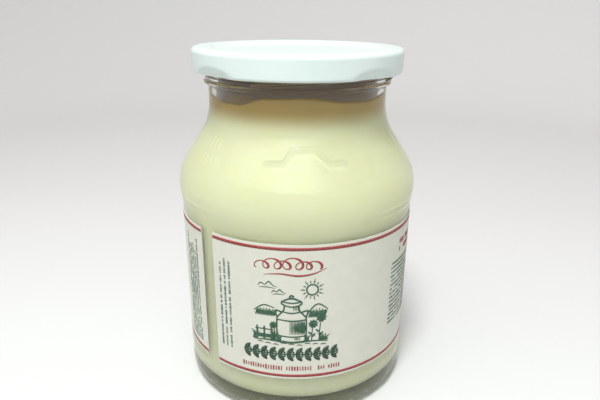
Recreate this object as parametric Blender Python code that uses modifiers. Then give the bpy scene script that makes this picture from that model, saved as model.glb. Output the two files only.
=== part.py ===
"""A closed glass jar of yogurt with a white twist-off lid and a wrap-round paper label.

The jar stands on Z = 0 with its axis on Z, and its front faces -Y. Azimuths run from
the front towards +X. Sizes are written in millimetres and turned into metres by MM.
"""
import math

import bmesh
import bpy

MM = 0.001
TURN_STEPS = 64
TOUCH_GAP = 0.3 * MM
OBJECT_NAME = "yogurt_jar"

# Lid
LID_TOP = 124.3 * MM
LID_BOTTOM = 116.2 * MM
LID_RADIUS = 36.75 * MM
LID_TAPER = 0.15 * MM
LID_CORNER_RADIUS = 1.65 * MM
LID_SHEET = 0.5 * MM
PANEL_DROP = 0.9 * MM
PANEL_RADIUS = 28.6 * MM
PANEL_SLOPE_WIDTH = 1.4 * MM
CURL_WIDTH = 0.85 * MM
CURL_HEIGHT = 1.15 * MM
LID_STEPS = 72

# Lugs pressed inwards out of the lid's lower edge
LUG_COUNT = 4
LUG_FIRST_AZIMUTH = -47.5
LUG_HALF_WIDTH = 15.5
LUG_DEPTH = 2.2 * MM
LUG_RISE = 3.2 * MM

# Glass finish: the mouth that the lid closes
LIP_TOP = 123.3 * MM
BORE_RADIUS = 29.05 * MM
LIP_INNER_ROUND = 1.2 * MM
LIP_OUTER_ROUND = 1.0 * MM
FINISH_RADIUS = 32.4 * MM
BEAD_RADIUS = 32.9 * MM
BEAD_BOTTOM = 112.3 * MM
BEAD_TOP = 113.9 * MM

# Thread: one ridge for each lug
THREAD_WIRE = 0.75 * MM
THREAD_CENTRE_RADIUS = 33.0 * MM
THREAD_STOP_AZIMUTH = 21.5
THREAD_FOOT_HEIGHT = 115.0 * MM
THREAD_STOP_HEIGHT = 116.5 * MM
THREAD_HOLD_HEIGHT = 119.2 * MM
THREAD_ENTRY_HEIGHT = 120.5 * MM

# Neck and shoulder
NECK_RADIUS = 31.4 * MM
NECK_WALL = 2.4 * MM
NECK_ARC_RADIUS = 21.5 * MM
NECK_ARC_HEIGHT = 107.0 * MM
SHOULDER_ANGLE = 33.4
BULGE_RADIUS = 43.6 * MM
BULGE_ARC_RADIUS = 18.3 * MM
BULGE_HEIGHT = 76.6 * MM
BULGE_WALL = 2.7 * MM

# Two soft steps under the shoulder, the label's recess and the heel band
UPPER_STEP_RADIUS = 43.2 * MM
UPPER_STEP_TOP = 75.9 * MM
UPPER_STEP_FOOT = 74.8 * MM
LOWER_STEP_TOP = 73.3 * MM
LOWER_STEP_RADIUS = 42.85 * MM
LOWER_STEP_FOOT = 71.8 * MM
RECESS_RADIUS = 42.4 * MM
RECESS_BRIM = 69.2 * MM
RECESS_TOP = 68.5 * MM
RECESS_BOTTOM = 15.3 * MM
HEEL_BAND_RADIUS = 43.0 * MM
HEEL_BAND_TOP = 13.9 * MM
HEEL_RADIUS = 6.0 * MM
STANDING_RING_WIDTH = 2.4 * MM
PUSH_UP = 2.0 * MM
PUSH_UP_RADIUS = 30.0 * MM

# Inside of the jar
BODY_INNER_RADIUS = 39.9 * MM
BODY_INNER_TOP = 66.9 * MM
INNER_HEEL_RADIUS = 8.0 * MM
FLOOR_EDGE_HEIGHT = 5.2 * MM
FLOOR_DOME = 1.4 * MM

# Yogurt
YOGURT_LEVEL = 109.3 * MM
MENISCUS_RISE = 0.5 * MM
MENISCUS_WIDTH = 1.4 * MM

# Label: its two ends leave a narrow upright gap
LABEL_BOTTOM = 16.8 * MM
LABEL_TOP = 67.6 * MM
LABEL_SHEET = 0.25 * MM
LABEL_START_AZIMUTH = -40.2
LABEL_END_AZIMUTH = 311.8

# Relief on the shoulder: a raised line with a step up in its middle
RELIEF_WIRE = 1.0 * MM
RELIEF_SUNK = 0.35 * MM
RELIEF_LOW_HEIGHT = 92.0 * MM
RELIEF_HIGH_HEIGHT = 96.0 * MM
RELIEF_AZIMUTHS = (-14.3, -6.2, -1.6, 10.0, 15.4, 24.2)

# Relief marks at both sides of the shoulder: two rows of short upright bars
MARK_WIRE = 0.55 * MM
MARK_SUNK = 0.15 * MM
MARK_GROUP_AZIMUTHS = (-49.0, 63.0)
MARK_ROWS = ((88.9 * MM, 91.5 * MM, 4), (93.5 * MM, 96.5 * MM, 3))
MARK_PITCH_DEG = 3.6


def clear_scene():
    for old in list(bpy.data.objects):
        bpy.data.objects.remove(old, do_unlink=True)


def new_collection(name):
    collection = bpy.data.collections.new(name)
    bpy.context.scene.collection.children.link(collection)
    return collection


def make_material(name, colour, roughness, metallic=0.0, transmission=0.0):
    material = bpy.data.materials.new(name)
    material.use_nodes = True
    shader = material.node_tree.nodes["Principled BSDF"]
    shader.inputs["Base Color"].default_value = (*colour, 1.0)
    shader.inputs["Roughness"].default_value = roughness
    shader.inputs["Metallic"].default_value = metallic
    shader.inputs["Transmission Weight"].default_value = transmission
    return material


def arc(centre, radius, first_deg, last_deg, segments):
    """Points (r, z) along a circle arc of the turned profile, both ends included."""
    points = []
    for i in range(segments + 1):
        angle = math.radians(first_deg + (last_deg - first_deg) * i / segments)
        points.append((centre[0] + radius * math.cos(angle), centre[1] + radius * math.sin(angle)))
    return points


def smooth(t):
    t = min(max(t, 0.0), 1.0)
    return t * t * (3.0 - 2.0 * t)


def at_azimuth(radius, azimuth_deg, height):
    """A point at this radius and height, turned from the front (-Y) towards +X."""
    angle = math.radians(azimuth_deg)
    return (radius * math.sin(angle), -radius * math.cos(angle), height)


def add_object(name, mesh, collection, material=None):
    made = bpy.data.objects.new(name, mesh)
    collection.objects.link(made)
    if material is not None:
        mesh.materials.append(material)
    return made


def turned(name, profile, steps, collection, material, sweep_deg=360.0, start_azimuth=None):
    """Turn a profile about Z. It runs down the outer side of the shape."""
    mesh = bpy.data.meshes.new(name)
    edges = [(i, i + 1) for i in range(len(profile) - 1)]
    mesh.from_pydata([(r, 0.0, z) for r, z in profile], edges, [])
    made = add_object(name, mesh, collection, material)
    screw = made.modifiers.new("turn", "SCREW")
    screw.axis = "Z"
    screw.angle = math.radians(sweep_deg)
    screw.steps = steps
    screw.render_steps = steps
    screw.use_merge_vertices = True
    screw.merge_threshold = 0.00001
    screw.use_smooth_shade = True
    if start_azimuth is not None:
        made.rotation_euler[2] = math.radians(start_azimuth - 90.0)
    return made


def apply_modifiers(made):
    """Swap an object's mesh for its evaluated mesh, with the modifiers removed."""
    graph = bpy.context.evaluated_depsgraph_get()
    mesh = bpy.data.meshes.new_from_object(made.evaluated_get(graph), depsgraph=graph)
    old = made.data
    made.modifiers.clear()
    made.data = mesh
    mesh.name = old.name + "_made"
    bpy.data.meshes.remove(old)
    return made


def shade(made, angle_deg=35.0):
    made.data.shade_smooth()
    made.data.set_sharp_from_angle(angle=math.radians(angle_deg))


def wire(name, points, thickness_radius, collection, sides_resolution=1):
    """A round wire through the points, with closed ends, as a mesh object."""
    curve = bpy.data.curves.new(name, "CURVE")
    curve.dimensions = "3D"
    curve.bevel_depth = thickness_radius
    curve.bevel_resolution = sides_resolution
    curve.use_fill_caps = True
    spline = curve.splines.new("POLY")
    spline.points.add(len(points) - 1)
    for spline_point, place in zip(spline.points, points):
        spline_point.co = (*place, 1.0)
    guide = add_object(name + "_guide", curve, collection)
    graph = bpy.context.evaluated_depsgraph_get()
    mesh = bpy.data.meshes.new_from_object(guide.evaluated_get(graph), depsgraph=graph)
    mesh.name = name
    work = bmesh.new()
    work.from_mesh(mesh)
    bmesh.ops.remove_doubles(work, verts=work.verts, dist=0.000001)
    bmesh.ops.recalc_face_normals(work, faces=work.faces)
    work.to_mesh(mesh)
    work.free()
    made = add_object(name, mesh, collection)
    made.matrix_world = guide.matrix_world
    bpy.data.objects.remove(guide, do_unlink=True)
    return made


def shoulder_radius(height):
    """Outer radius of the glass shoulder at a height between the bulge and the neck."""
    lean = math.radians(SHOULDER_ANGLE)
    bulge_end_r = BULGE_RADIUS - BULGE_ARC_RADIUS * (1.0 - math.cos(lean))
    bulge_end_z = BULGE_HEIGHT + BULGE_ARC_RADIUS * math.sin(lean)
    neck_end_r = NECK_RADIUS + NECK_ARC_RADIUS * (1.0 - math.cos(lean))
    neck_end_z = NECK_ARC_HEIGHT - NECK_ARC_RADIUS * math.sin(lean)
    if height < bulge_end_z:
        rise = height - BULGE_HEIGHT
        return BULGE_RADIUS - BULGE_ARC_RADIUS + math.sqrt(BULGE_ARC_RADIUS ** 2 - rise ** 2)
    if height > neck_end_z:
        drop = NECK_ARC_HEIGHT - height
        return NECK_RADIUS + NECK_ARC_RADIUS - math.sqrt(NECK_ARC_RADIUS ** 2 - drop ** 2)
    share = (height - bulge_end_z) / (neck_end_z - bulge_end_z)
    return bulge_end_r + (neck_end_r - bulge_end_r) * share


def neck_arc(wall, first_deg, last_deg, segments):
    centre = (NECK_RADIUS + NECK_ARC_RADIUS, NECK_ARC_HEIGHT)
    return arc(centre, NECK_ARC_RADIUS + wall, first_deg, last_deg, segments)


def bulge_arc(wall, first_deg, last_deg, segments):
    centre = (BULGE_RADIUS - BULGE_ARC_RADIUS, BULGE_HEIGHT)
    return arc(centre, BULGE_ARC_RADIUS - wall, first_deg, last_deg, segments)


def inner_heel_arc(gap, first_deg, last_deg, segments):
    centre = (BODY_INNER_RADIUS - INNER_HEEL_RADIUS, FLOOR_EDGE_HEIGHT + INNER_HEEL_RADIUS)
    return arc(centre, INNER_HEEL_RADIUS - gap, first_deg, last_deg, segments)


def inner_wall_profile():
    """Inside of the glass, from the middle of the floor up to the bore."""
    points = [(0.0, FLOOR_EDGE_HEIGHT + FLOOR_DOME)]
    points += inner_heel_arc(0.0, -90.0, 0.0, 4)
    points += [(BODY_INNER_RADIUS, BODY_INNER_TOP)]
    points += bulge_arc(BULGE_WALL, 0.0, SHOULDER_ANGLE, 3)
    points += neck_arc(NECK_WALL, 180.0 + SHOULDER_ANGLE, 180.0, 3)
    return points


def finish_profile():
    """The lip, the finish wall and the bead, from the bore over the lip and down outside."""
    inner_centre = (BORE_RADIUS + LIP_INNER_ROUND, LIP_TOP - LIP_INNER_ROUND)
    outer_centre = (FINISH_RADIUS - LIP_OUTER_ROUND, LIP_TOP - LIP_OUTER_ROUND)
    points = arc(inner_centre, LIP_INNER_ROUND, 180.0, 90.0, 2)
    points += arc(outer_centre, LIP_OUTER_ROUND, 90.0, 0.0, 2)
    bead_height = BEAD_TOP - BEAD_BOTTOM
    bead_depth = BEAD_RADIUS - NECK_RADIUS
    points += [
        (FINISH_RADIUS, BEAD_TOP),
        (BEAD_RADIUS, BEAD_TOP - 0.3 * bead_height),
        (BEAD_RADIUS, BEAD_TOP - 0.65 * bead_height),
        (BEAD_RADIUS - 0.3 * bead_depth, BEAD_TOP - 0.9 * bead_height),
        (NECK_RADIUS, BEAD_BOTTOM),
    ]
    return points


def outer_wall_profile():
    """Outside of the glass from the neck down to the middle of the base."""
    points = neck_arc(0.0, 180.0, 180.0 + SHOULDER_ANGLE, 4)
    points += bulge_arc(0.0, SHOULDER_ANGLE, 0.0, 5)
    points += [
        (BULGE_RADIUS - 0.05 * MM, UPPER_STEP_TOP),
        (UPPER_STEP_RADIUS, UPPER_STEP_FOOT),
        (UPPER_STEP_RADIUS, LOWER_STEP_TOP),
        (LOWER_STEP_RADIUS, LOWER_STEP_FOOT),
        (LOWER_STEP_RADIUS, RECESS_BRIM),
        (RECESS_RADIUS, RECESS_TOP),
        (RECESS_RADIUS, RECESS_BOTTOM),
        (HEEL_BAND_RADIUS, HEEL_BAND_TOP),
    ]
    heel_centre = (HEEL_BAND_RADIUS - HEEL_RADIUS, HEEL_RADIUS)
    points += arc(heel_centre, HEEL_RADIUS, 0.0, -90.0, 4)
    points += [
        (heel_centre[0] - STANDING_RING_WIDTH, 0.0),
        (PUSH_UP_RADIUS, 0.7 * PUSH_UP),
        (0.0, PUSH_UP),
    ]
    return points


def thread_height(turned_deg):
    """Height of a thread ridge at an angle past its lug's azimuth."""
    if turned_deg < -THREAD_STOP_AZIMUTH:
        share = (turned_deg + 3.0 * THREAD_STOP_AZIMUTH) / (2.0 * THREAD_STOP_AZIMUTH)
        return THREAD_FOOT_HEIGHT + (THREAD_STOP_HEIGHT - THREAD_FOOT_HEIGHT) * share
    hold = smooth((turned_deg + THREAD_STOP_AZIMUTH) / (0.5 * THREAD_STOP_AZIMUTH))
    entry = max(turned_deg, 0.0) / THREAD_STOP_AZIMUTH
    height = THREAD_STOP_HEIGHT + (THREAD_HOLD_HEIGHT - THREAD_STOP_HEIGHT) * hold
    return height + (THREAD_ENTRY_HEIGHT - THREAD_HOLD_HEIGHT) * min(entry, 1.0)


def make_threads(collection):
    for i in range(LUG_COUNT):
        lug_azimuth = LUG_FIRST_AZIMUTH + 360.0 / LUG_COUNT * i
        points = []
        for step in range(13):
            turned_deg = (step / 12.0 * 4.0 - 3.0) * THREAD_STOP_AZIMUTH
            height = thread_height(turned_deg)
            points.append(at_azimuth(THREAD_CENTRE_RADIUS, lug_azimuth + turned_deg, height))
        wire("thread_ridge_%d" % (i + 1), points, THREAD_WIRE, collection)


def make_stepped_line(collection):
    """The raised line on the shoulder: low at both ends, high in the middle."""
    heights = (RELIEF_LOW_HEIGHT, RELIEF_LOW_HEIGHT, RELIEF_HIGH_HEIGHT,
               RELIEF_HIGH_HEIGHT, RELIEF_LOW_HEIGHT, RELIEF_LOW_HEIGHT)
    points = []
    for i in range(len(heights) - 1):
        for step in range(2):
            share = step / 2.0
            azimuth = RELIEF_AZIMUTHS[i] + (RELIEF_AZIMUTHS[i + 1] - RELIEF_AZIMUTHS[i]) * share
            height = heights[i] + (heights[i + 1] - heights[i]) * share
            points.append(at_azimuth(shoulder_radius(height) - RELIEF_SUNK, azimuth, height))
    last_radius = shoulder_radius(heights[-1]) - RELIEF_SUNK
    points.append(at_azimuth(last_radius, RELIEF_AZIMUTHS[-1], heights[-1]))
    wire("stepped_line", points, RELIEF_WIRE, collection)


def make_side_marks(collection):
    """Two rows of short raised bars at each side of the shoulder."""
    for group, centre in enumerate(MARK_GROUP_AZIMUTHS):
        for row, (low, high, count) in enumerate(MARK_ROWS):
            for i in range(count):
                azimuth = centre + (i - (count - 1) / 2.0) * MARK_PITCH_DEG
                points = [at_azimuth(shoulder_radius(z) - MARK_SUNK, azimuth, z) for z in (low, high)]
                name = "mark_%d_%d_%d" % (group + 1, row + 1, i + 1)
                wire(name, points, MARK_WIRE, collection)


def make_glass_jar(collection, joined, material):
    """One glass body: the turned jar with its thread and relief joined to it."""
    profile = inner_wall_profile() + finish_profile() + outer_wall_profile()
    jar = turned("glass_jar", profile, TURN_STEPS, collection, material)
    apply_modifiers(jar)
    make_threads(joined)
    make_stepped_line(joined)
    make_side_marks(joined)
    union = jar.modifiers.new("relief", "BOOLEAN")
    union.operation = "UNION"
    union.operand_type = "COLLECTION"
    union.collection = joined
    union.solver = "EXACT"
    apply_modifiers(jar)
    for piece in list(joined.objects):
        bpy.data.objects.remove(piece, do_unlink=True)
    shade(jar)
    return jar


def lid_profile():
    """The lid's sheet: over the top, down the skirt, round the curl and back inside."""
    panel_top = LID_TOP - PANEL_DROP
    corner = (LID_RADIUS - LID_CORNER_RADIUS, LID_TOP - LID_CORNER_RADIUS)
    skirt_foot_radius = LID_RADIUS - LID_TAPER
    curl_top = LID_BOTTOM + CURL_HEIGHT
    inner_corner = LID_CORNER_RADIUS - LID_SHEET
    points = [(0.0, panel_top), (PANEL_RADIUS, panel_top), (PANEL_RADIUS + PANEL_SLOPE_WIDTH, LID_TOP)]
    points += arc(corner, LID_CORNER_RADIUS, 90.0, 0.0, 3)
    points += [
        (LID_RADIUS - 0.3 * LID_TAPER, LID_BOTTOM + LUG_RISE),
        (skirt_foot_radius, LID_BOTTOM + 0.55 * CURL_HEIGHT),
        (skirt_foot_radius - 0.5 * CURL_WIDTH, LID_BOTTOM),
        (skirt_foot_radius - CURL_WIDTH, LID_BOTTOM + 0.4 * CURL_HEIGHT),
        (skirt_foot_radius - CURL_WIDTH, curl_top),
        (LID_RADIUS - LID_SHEET - LID_TAPER, curl_top + 0.25 * CURL_HEIGHT),
        (LID_RADIUS - LID_SHEET - 0.3 * LID_TAPER, LID_BOTTOM + LUG_RISE),
    ]
    points += arc(corner, inner_corner, 0.0, 90.0, 2)
    points += [
        (PANEL_RADIUS + PANEL_SLOPE_WIDTH + 0.3 * LID_SHEET, LID_TOP - LID_SHEET),
        (PANEL_RADIUS + 0.3 * LID_SHEET, panel_top - LID_SHEET),
        (0.0, panel_top - LID_SHEET),
    ]
    return points


def press_lugs(lid):
    """Push the lid's lower edge inwards at each lug."""
    pitch = 360.0 / LUG_COUNT
    for vertex in lid.data.vertices:
        radius = math.hypot(vertex.co.x, vertex.co.y)
        if radius < FINISH_RADIUS or vertex.co.z > LID_BOTTOM + LUG_RISE:
            continue
        azimuth = math.degrees(math.atan2(vertex.co.x, -vertex.co.y))
        from_lug = (azimuth - LUG_FIRST_AZIMUTH + pitch / 2.0) % pitch - pitch / 2.0
        across = smooth(1.5 * (1.0 - abs(from_lug) / LUG_HALF_WIDTH))
        down = smooth(1.0 - (vertex.co.z - LID_BOTTOM - 0.3 * LUG_RISE) / (0.7 * LUG_RISE))
        shrunk = (radius - LUG_DEPTH * across * down) / radius
        vertex.co.x *= shrunk
        vertex.co.y *= shrunk


def make_lid(collection, material):
    lid = turned("lid", lid_profile(), LID_STEPS, collection, material)
    apply_modifiers(lid)
    press_lugs(lid)
    shade(lid)
    return lid


def make_yogurt(collection, material):
    """Solid yogurt up to its level, just clear of the glass all round."""
    neck_wall = NECK_WALL + TOUCH_GAP
    side = [(NECK_RADIUS - neck_wall, YOGURT_LEVEL + MENISCUS_RISE)]
    side += neck_arc(neck_wall, 180.0, 180.0 + SHOULDER_ANGLE, 3)
    side += bulge_arc(BULGE_WALL + TOUCH_GAP, SHOULDER_ANGLE, 0.0, 3)
    side += [(BODY_INNER_RADIUS - TOUCH_GAP, BODY_INNER_TOP)]
    side += inner_heel_arc(TOUCH_GAP, 0.0, -90.0, 4)
    top = [(0.0, YOGURT_LEVEL), (side[0][0] - MENISCUS_WIDTH, YOGURT_LEVEL)]
    bottom = [(0.0, FLOOR_EDGE_HEIGHT + FLOOR_DOME + TOUCH_GAP)]
    yogurt = turned("yogurt", top + side + bottom, TURN_STEPS, collection, material)
    apply_modifiers(yogurt)
    shade(yogurt)
    return yogurt


def make_label(collection, material):
    """A paper sheet bent round the recess, with a gap between its two ends."""
    radius = RECESS_RADIUS + TOUCH_GAP
    profile = [(radius, LABEL_TOP), (radius, LABEL_BOTTOM)]
    sweep = LABEL_END_AZIMUTH - LABEL_START_AZIMUTH
    label = turned("label", profile, TURN_STEPS, collection, material, sweep, LABEL_START_AZIMUTH)
    sheet = label.modifiers.new("sheet", "SOLIDIFY")
    sheet.thickness = LABEL_SHEET
    sheet.offset = 1.0
    sheet.use_even_offset = True
    return label


def main():
    clear_scene()
    jar_parts = new_collection(OBJECT_NAME)
    joined = new_collection("joined_relief")
    glass = make_material("clear_glass", (0.93, 0.96, 0.93), 0.04, transmission=1.0)
    enamel = make_material("white_enamel", (0.86, 0.87, 0.85), 0.28, metallic=0.0)
    cream = make_material("yogurt_cream", (0.86, 0.87, 0.64), 0.45)
    paper = make_material("label_paper", (0.78, 0.79, 0.68), 0.7)
    make_glass_jar(jar_parts, joined, glass)
    make_lid(jar_parts, enamel)
    make_yogurt(jar_parts, cream)
    make_label(jar_parts, paper)
    bpy.data.collections.remove(joined)


main()
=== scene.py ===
# %% [markdown]
# # A closed jar of yogurt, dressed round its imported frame
# The object is a glass jar of plain yogurt with a white twist-off lid and a printed paper label.
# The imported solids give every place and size. Here each solid gets a finer piece in its stead:
# clear glass with soft mould relief, enamelled sheet metal, moist yogurt, and paper with print.
# Everything is in metres, +Z is up, the jar's axis is Z, and the front of the label faces -Y.

# %% Load the frame and keep its box
import math
import random

import bmesh
import bpy
from mathutils import Matrix, Vector


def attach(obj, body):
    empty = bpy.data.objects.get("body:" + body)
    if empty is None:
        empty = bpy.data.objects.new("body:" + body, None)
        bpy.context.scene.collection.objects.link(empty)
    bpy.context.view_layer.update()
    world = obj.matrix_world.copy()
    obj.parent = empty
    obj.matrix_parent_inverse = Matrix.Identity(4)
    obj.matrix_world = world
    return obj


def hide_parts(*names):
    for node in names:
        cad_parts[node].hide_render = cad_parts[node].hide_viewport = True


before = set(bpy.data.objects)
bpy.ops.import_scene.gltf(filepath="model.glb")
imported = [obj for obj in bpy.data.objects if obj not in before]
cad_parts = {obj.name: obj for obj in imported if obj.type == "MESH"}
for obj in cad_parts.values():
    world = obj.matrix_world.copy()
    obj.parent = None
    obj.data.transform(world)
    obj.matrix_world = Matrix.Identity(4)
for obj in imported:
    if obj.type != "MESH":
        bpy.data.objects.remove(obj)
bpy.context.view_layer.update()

# %% [markdown]
# ## Measures
# A turned object is a handful of radii and heights. These are the same driving sizes as the
# solids have, so each fine piece lies where its solid does. Azimuths count from the front
# towards +X, in degrees, because that is how one reads a label round a jar.

# %% Driving sizes of the jar, the lid, the yogurt and the label
MM = 0.001
LID_TOP = 124.3 * MM
LID_BOTTOM = 116.2 * MM
LID_RADIUS = 36.75 * MM
LID_TAPER = 0.15 * MM
LID_CORNER = 1.65 * MM
LID_SHEET = 0.4 * MM
PANEL_DROP = 0.9 * MM
PANEL_RADIUS = 28.6 * MM
CURL_RADIUS = 0.95 * MM
LUG_COUNT = 4
LUG_FIRST = -47.5
LUG_HALF_WIDTH = 17.0
LUG_DEPTH = 1.6 * MM
LUG_RISE = 3.4 * MM
LIP_TOP = 123.3 * MM
BORE_RADIUS = 29.05 * MM
FINISH_RADIUS = 32.4 * MM
BEAD_RADIUS = 32.9 * MM
BEAD_TOP = 113.9 * MM
BEAD_BOTTOM = 112.3 * MM
NECK_RADIUS = 31.4 * MM
NECK_WALL = 2.4 * MM
NECK_ARC_RADIUS = 21.5 * MM
NECK_ARC_HEIGHT = 107.0 * MM
SHOULDER_ANGLE = 33.4
BULGE_RADIUS = 43.6 * MM
BULGE_ARC_RADIUS = 18.3 * MM
BULGE_HEIGHT = 76.6 * MM
BULGE_WALL = 2.7 * MM
BODY_INNER_RADIUS = 39.9 * MM
BODY_INNER_TOP = 66.9 * MM
HEEL_BAND_RADIUS = 43.0 * MM
HEEL_RADIUS = 6.0 * MM
YOGURT_LEVEL = 109.3 * MM
LABEL_INNER = 42.68 * MM
LABEL_OUTER = 42.88 * MM
LABEL_BOTTOM = 16.8 * MM
LABEL_TOP = 67.6 * MM
LABEL_START = -40.2
LABEL_END = 311.8
print("jar %.1f mm tall, %.1f mm wide" % (LID_TOP / MM, 2 * BULGE_RADIUS / MM))

# %% Small helpers for turned shapes
def smooth(t):
    t = min(max(t, 0.0), 1.0)
    return t * t * (3.0 - 2.0 * t)


def arc(centre, radius, first_deg, last_deg, segments):
    """Points (r, z) on a circle arc, both ends included."""
    angles = [math.radians(first_deg + (last_deg - first_deg) * i / segments) for i in range(segments + 1)]
    return [(centre[0] + radius * math.cos(a), centre[1] + radius * math.sin(a)) for a in angles]


def filleted(corners, segments=5):
    """A polyline through (r, z, fillet radius) corners with each corner rounded off."""
    points = [corners[0][:2]]
    for before, here, after in zip(corners, corners[1:], corners[2:]):
        p = Vector(here[:2])
        a = (Vector(before[:2]) - p).normalized()
        b = (Vector(after[:2]) - p).normalized()
        half = a.angle(b) / 2.0
        if here[2] <= 0.0 or half > math.radians(89.0):
            points.append(tuple(p))
            continue
        reach = here[2] / math.tan(half)
        centre = p + (a + b).normalized() * (here[2] / math.sin(half))
        start, end = p + a * reach - centre, p + b * reach - centre
        for i in range(segments + 1):
            share = i / segments
            direction = (start * (1.0 - share) + end * share).normalized()
            points.append(tuple(centre + direction * here[2]))
    points.append(corners[-1][:2])
    return points


def stepped(points, longest):
    """The same polyline with no step longer than this, so that relief has points to move."""
    out = [points[0]]
    for a, b in zip(points, points[1:]):
        count = max(1, math.ceil(math.dist(a, b) / longest))
        out += [(a[0] + (b[0] - a[0]) * i / count, a[1] + (b[1] - a[1]) * i / count) for i in range(1, count + 1)]
    return out


print("a rounded corner takes", len(filleted([(0, 0, 0), (1, 0, 0.2), (1, 1, 0)])), "points")

# %% [markdown]
# ## Materials
# Every finish is a Principled shader. What varies over the surface comes from noise read in
# Object coordinates, which lie in metres on each piece, so the scales below are in real size.
# Values that are the same all over are set on the shader's own sockets.

# %% A base for all finishes
def new_finish(name, colour, roughness, **sockets):
    """A material with one Principled shader, and the shader itself."""
    material = bpy.data.materials.new(name)
    material.use_nodes = True
    shader = material.node_tree.nodes["Principled BSDF"]
    shader.inputs["Base Color"].default_value = (*colour, 1.0)
    shader.inputs["Roughness"].default_value = roughness
    for socket, value in sockets.items():
        shader.inputs[socket.replace("_", " ")].default_value = value
    return material, shader


def object_noise(material, scale, detail=3.0, stretch=(1.0, 1.0, 1.0)):
    """Noise over the piece's own Object coordinates; scale is in waves per metre."""
    nodes, links = material.node_tree.nodes, material.node_tree.links
    place = nodes.new("ShaderNodeTexCoord")
    mapping = nodes.new("ShaderNodeMapping")
    mapping.inputs["Scale"].default_value = stretch
    noise = nodes.new("ShaderNodeTexNoise")
    noise.inputs["Scale"].default_value = scale
    noise.inputs["Detail"].default_value = detail
    links.new(place.outputs["Object"], mapping.inputs["Vector"])
    links.new(mapping.outputs["Vector"], noise.inputs["Vector"])
    return noise.outputs["Fac"]


def ramp_between(material, factor, low, high, shades):
    """A colour that runs through shades as the factor goes from low to high."""
    ramp = material.node_tree.nodes.new("ShaderNodeValToRGB")
    ramp.color_ramp.elements[0].position = low
    ramp.color_ramp.elements[1].position = high
    ramp.color_ramp.elements[0].color = (*shades[0], 1.0)
    ramp.color_ramp.elements[1].color = (*shades[1], 1.0)
    material.node_tree.links.new(factor, ramp.inputs["Fac"])
    return ramp.outputs["Color"]


def bump(material, shader, height, depth, strength=1.0):
    """A bump of this depth in metres, from a height between 0 and 1."""
    node = material.node_tree.nodes.new("ShaderNodeBump")
    node.inputs["Strength"].default_value = strength
    node.inputs["Distance"].default_value = depth
    material.node_tree.links.new(height, node.inputs["Height"])
    material.node_tree.links.new(node.outputs["Normal"], shader.inputs["Normal"])


# %% [markdown]
# ### Glass, enamel and lacquer
# Jar glass is clear with a breath of green, and its outside is never quite even, because it was
# blown into a mould. The lid is tinplate: white enamel with a soft orange-peel gloss outside and
# a golden food lacquer inside, which is what tints the space above the yogurt.

# %% Glass, enamel and lacquer
def make_glass_finish():
    material, shader = new_finish("clear_glass", (0.97, 0.99, 0.965), 0.03, IOR=1.5)
    shader.inputs["Transmission Weight"].default_value = 1.0
    waves = object_noise(material, 90.0, detail=1.5, stretch=(1.0, 1.0, 0.55))
    bump(material, shader, waves, 0.00035, strength=0.35)
    return material


def make_enamel_finish():
    material, shader = new_finish("white_enamel", (0.7, 0.76, 0.745), 0.3)
    shader.inputs["Coat Weight"].default_value = 0.35
    shader.inputs["Coat Roughness"].default_value = 0.12
    cloud = object_noise(material, 45.0, detail=4.0)
    colour = ramp_between(material, cloud, 0.3, 0.7, ((0.58, 0.68, 0.66), (0.62, 0.705, 0.685)))
    material.node_tree.links.new(colour, shader.inputs["Base Color"])
    peel = object_noise(material, 1400.0, detail=2.0)
    bump(material, shader, peel, 0.00003, strength=0.5)
    return material


def make_lacquer_finish():
    material, shader = new_finish("gold_lacquer", (0.62, 0.43, 0.18), 0.38)
    shader.inputs["Metallic"].default_value = 0.55
    cloud = object_noise(material, 160.0)
    colour = ramp_between(material, cloud, 0.3, 0.75, ((0.58, 0.34, 0.1), (0.7, 0.45, 0.16)))
    material.node_tree.links.new(colour, shader.inputs["Base Color"])
    return material


glass_finish = make_glass_finish()
enamel_finish = make_enamel_finish()
lacquer_finish = make_lacquer_finish()
print("finishes:", glass_finish.name, enamel_finish.name, lacquer_finish.name)

# %% [markdown]
# ### Yogurt, paper and ink
# Set yogurt is pale cream, moist, and lets light a few millimetres in, so it glows instead of
# looking chalky. The label is uncoated paper: cream, faintly mottled, with fibres that catch the
# light. Ink sinks into such paper, so it has the paper's dullness and slightly uneven cover.

# %% Yogurt, paper and ink
# Over its top few millimetres the yogurt turns golden brown: partly a real cream layer, partly painted shade for the
# lid's shadow on the neck.
CREAM_AND_SHADE_FOOT, CREAM_AND_SHADE_FULL = 99.5 * MM, 107.0 * MM


def make_yogurt_finish():
    material, shader = new_finish("yogurt_cream", (0.94, 0.96, 0.7), 0.34)
    shader.inputs["Subsurface Weight"].default_value = 0.25
    shader.inputs["Subsurface Radius"].default_value = (1.0, 0.9, 0.55)
    shader.inputs["Subsurface Scale"].default_value = 0.001
    cloud = object_noise(material, 60.0, detail=4.0, stretch=(1.0, 1.0, 1.6))
    body = ramp_between(material, cloud, 0.35, 0.7, ((0.92, 0.95, 0.62), (0.94, 0.965, 0.68)))
    nodes, links = material.node_tree.nodes, material.node_tree.links
    place = nodes.new("ShaderNodeTexCoord")
    split = nodes.new("ShaderNodeSeparateXYZ")
    links.new(place.outputs["Object"], split.inputs["Vector"])
    # Share of the golden brown by height: cream layer and painted shade of the lid together.
    cream_and_shade_share = nodes.new("ShaderNodeMapRange")
    cream_and_shade_share.interpolation_type = "SMOOTHSTEP"
    cream_and_shade_share.inputs["From Min"].default_value = CREAM_AND_SHADE_FOOT
    cream_and_shade_share.inputs["From Max"].default_value = CREAM_AND_SHADE_FULL
    links.new(split.outputs["Z"], cream_and_shade_share.inputs["Value"])
    mix = nodes.new("ShaderNodeMix")
    mix.data_type = "RGBA"
    mix.inputs["B"].default_value = (0.64, 0.44, 0.13, 1.0)
    links.new(cream_and_shade_share.outputs["Result"], mix.inputs["Factor"])
    links.new(body, mix.inputs["A"])
    links.new(mix.outputs["Result"], shader.inputs["Base Color"])
    curd = object_noise(material, 420.0, detail=3.0)
    bump(material, shader, curd, 0.00015, strength=0.4)
    return material


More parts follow.
